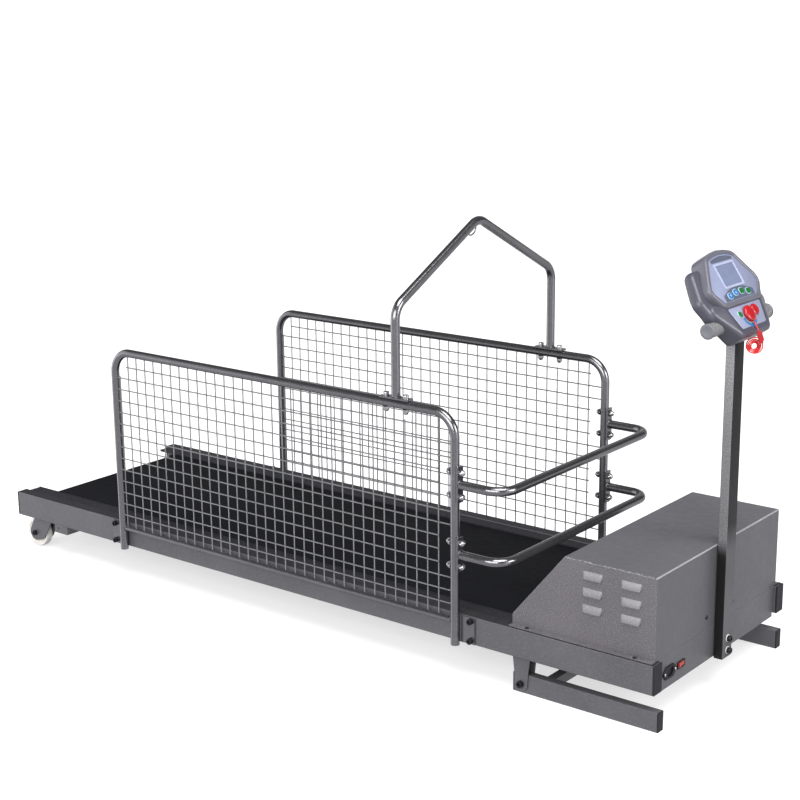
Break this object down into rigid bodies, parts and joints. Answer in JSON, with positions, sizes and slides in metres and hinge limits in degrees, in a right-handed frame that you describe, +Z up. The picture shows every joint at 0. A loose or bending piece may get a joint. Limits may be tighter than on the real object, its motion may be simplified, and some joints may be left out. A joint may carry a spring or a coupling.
{
  "type": "dog treadmill",
  "caption": "Low dog treadmill with wire mesh side fences, a leash arch over the belt, U-shaped front bars, a motor hood and a mast console with a safety key.",
  "frame": {"origin": "on the floor, under the middle of the machine", "axes": "+X the way the dog walks, from the wheels to the console; +Y across the belt, away from the camera's side; +Z up"},
  "size_m": [1.9021, 0.5886, 0.9042],
  "materials": {
    "rail_grey": "satin powder coat",
    "black_plastic": "matte",
    "strip_black": "ribbed",
    "deck_board": "painted board",
    "belt_black": "fine weave",
    "roller_steel": "turned",
    "pulley_grey": "cast",
    "motor_grey": "satin",
    "hood_grey": "hammered paint",
    "bolt_black": "black oxide",
    "rocker_red": "gloss",
    "tube_grey": "hammered paint",
    "mesh_steel": "zinc plated",
    "bright_bolts": "polished",
    "leg_grey": "hammered paint",
    "wheel_white": "moulded",
    "cap_grey": "matte",
    "housing_grey": "moulded satin",
    "plate_silver": "printed silver",
    "display_grey": "gloss",
    "button_blue": "gloss",
    "button_green": "gloss",
    "red_plastic": "gloss",
    "red_cord": "braided"
  },
  "bodies": {
    "frame": {"rail_near": "rail_grey", "rail_far": "rail_grey", "rail_caps": "black_plastic", "foot_strips": "strip_black", "deck_board": "deck_board", "running_belt": "belt_black", "inner_cross_tubes": "rail_grey", "rear_cross_tube": "rail_grey", "roller_shafts": "roller_steel", "belt_adjusters": "roller_steel", "motor": "motor_grey", "drive_belt": "belt_black", "controller": "black_plastic", "tray": "motor_grey", "hood": "hood_grey", "panel_screws": "bolt_black", "mains_inlet": "black_plastic", "switch_bezel": "black_plastic", "fence_frame_near": "tube_grey", "fence_frame_far": "tube_grey", "fence_mesh_near": "mesh_steel", "fence_mesh_far": "mesh_steel", "fence_bolts": "bolt_black", "leash_arch": "tube_grey", "arch_bolts": "bright_bolts", "front_bar_upper": "tube_grey", "front_bar_lower": "tube_grey", "bar_bolts": "bright_bolts", "leg_brackets": "leg_grey", "leg_bolts": "bolt_black", "wheel_forks": "leg_grey", "wheel_bolts": "bolt_black", "mast": "leg_grey", "mast_bolts": "bolt_black", "cross_tube": "leg_grey", "cross_tube_caps": "cap_grey", "console_housing": "housing_grey", "console_pod": "housing_grey", "faceplate": "plate_silver", "display": "display_grey", "lower_panel": "plate_silver"},
    "front_roller": {"front_roller": "roller_steel", "roller_pulley": "pulley_grey"},
    "rear_roller": {"rear_roller": "roller_steel"},
    "motor_rotor": {"motor_rotor": "roller_steel"},
    "near_wheel": {"wheel_near": "wheel_white"},
    "far_wheel": {"wheel_far": "wheel_white"},
    "legs": {"leg_frame": "leg_grey", "leg_plugs": "black_plastic"},
    "rocker": {"switch_rocker": "rocker_red"},
    "oval_button_1": {"button_1": "button_blue"},
    "oval_button_2": {"button_2": "button_blue"},
    "oval_button_3": {"button_3": "button_green"},
    "oval_button_4": {"button_4": "button_green"},
    "start_button": {"start_button": "button_green"},
    "stop_button": {"stop_button": "red_plastic"},
    "key": {"safety_key": "red_plastic", "lanyard_run": "red_cord", "lanyard_hank": "red_cord", "lanyard_clip": "red_plastic"}
  },
  "joints": [
    {"name": "front_roller_spin", "type": "hinge", "parent": "frame", "child": "front_roller", "pos_m": [0.63196, 0, 0.1067], "axis": [0, 1, 0], "continuous": true},
    {"name": "rear_roller_spin", "type": "hinge", "parent": "frame", "child": "rear_roller", "pos_m": [-0.86404, 0, 0.1067], "axis": [0, 1, 0], "continuous": true},
    {"name": "motor_spin", "type": "hinge", "parent": "frame", "child": "motor_rotor", "pos_m": [0.78996, 0, 0.1255], "axis": [0, 1, 0], "continuous": true},
    {"name": "near_wheel_spin", "type": "hinge", "parent": "frame", "child": "near_wheel", "pos_m": [-0.89004, -0.252, 0.037], "axis": [0, 1, 0], "continuous": true},
    {"name": "far_wheel_spin", "type": "hinge", "parent": "frame", "child": "far_wheel", "pos_m": [-0.89004, 0.252, 0.037], "axis": [0, 1, 0], "continuous": true},
    {"name": "leg_fold", "type": "hinge", "parent": "frame", "child": "legs", "pos_m": [0.59096, 0, 0.02], "axis": [0, 1, 0], "range_deg": [0, 25]},
    {"name": "rocker_tilt", "type": "hinge", "parent": "frame", "child": "rocker", "pos_m": [0.88596, -0.155, 0.101], "axis": [0, 0, 1], "range_deg": [-16, 0]},
    {"name": "oval_button_1_press", "type": "slide", "parent": "frame", "child": "oval_button_1", "axis": [-0.829, 0, -0.5592], "range_m": [0, 0.0012], "stiffness_N_per_m": 600},
    {"name": "oval_button_2_press", "type": "slide", "parent": "frame", "child": "oval_button_2", "axis": [-0.829, 0, -0.5592], "range_m": [0, 0.0012], "stiffness_N_per_m": 600},
    {"name": "oval_button_3_press", "type": "slide", "parent": "frame", "child": "oval_button_3", "axis": [-0.829, 0, -0.5592], "range_m": [0, 0.0012], "stiffness_N_per_m": 600},
    {"name": "oval_button_4_press", "type": "slide", "parent": "frame", "child": "oval_button_4", "axis": [-0.829, 0, -0.5592], "range_m": [0, 0.0012], "stiffness_N_per_m": 600},
    {"name": "start_press", "type": "slide", "parent": "frame", "child": "start_button", "axis": [-0.829, 0, -0.5592], "range_m": [0, 0.0012], "stiffness_N_per_m": 600},
    {"name": "stop_press", "type": "slide", "parent": "frame", "child": "stop_button", "axis": [-0.829, 0, -0.5592], "range_m": [0, 0.0012], "stiffness_N_per_m": 600},
    {"name": "key_pull", "type": "slide", "parent": "frame", "child": "key", "axis": [0.829, 0, 0.5592], "range_m": [0, 0.03]}
  ],
  "couplings": [
    {"joint": "rear_roller_spin", "follows": "front_roller_spin", "ratio": 1},
    {"joint": "motor_spin", "follows": "front_roller_spin", "ratio": 2.3077}
  ]
}
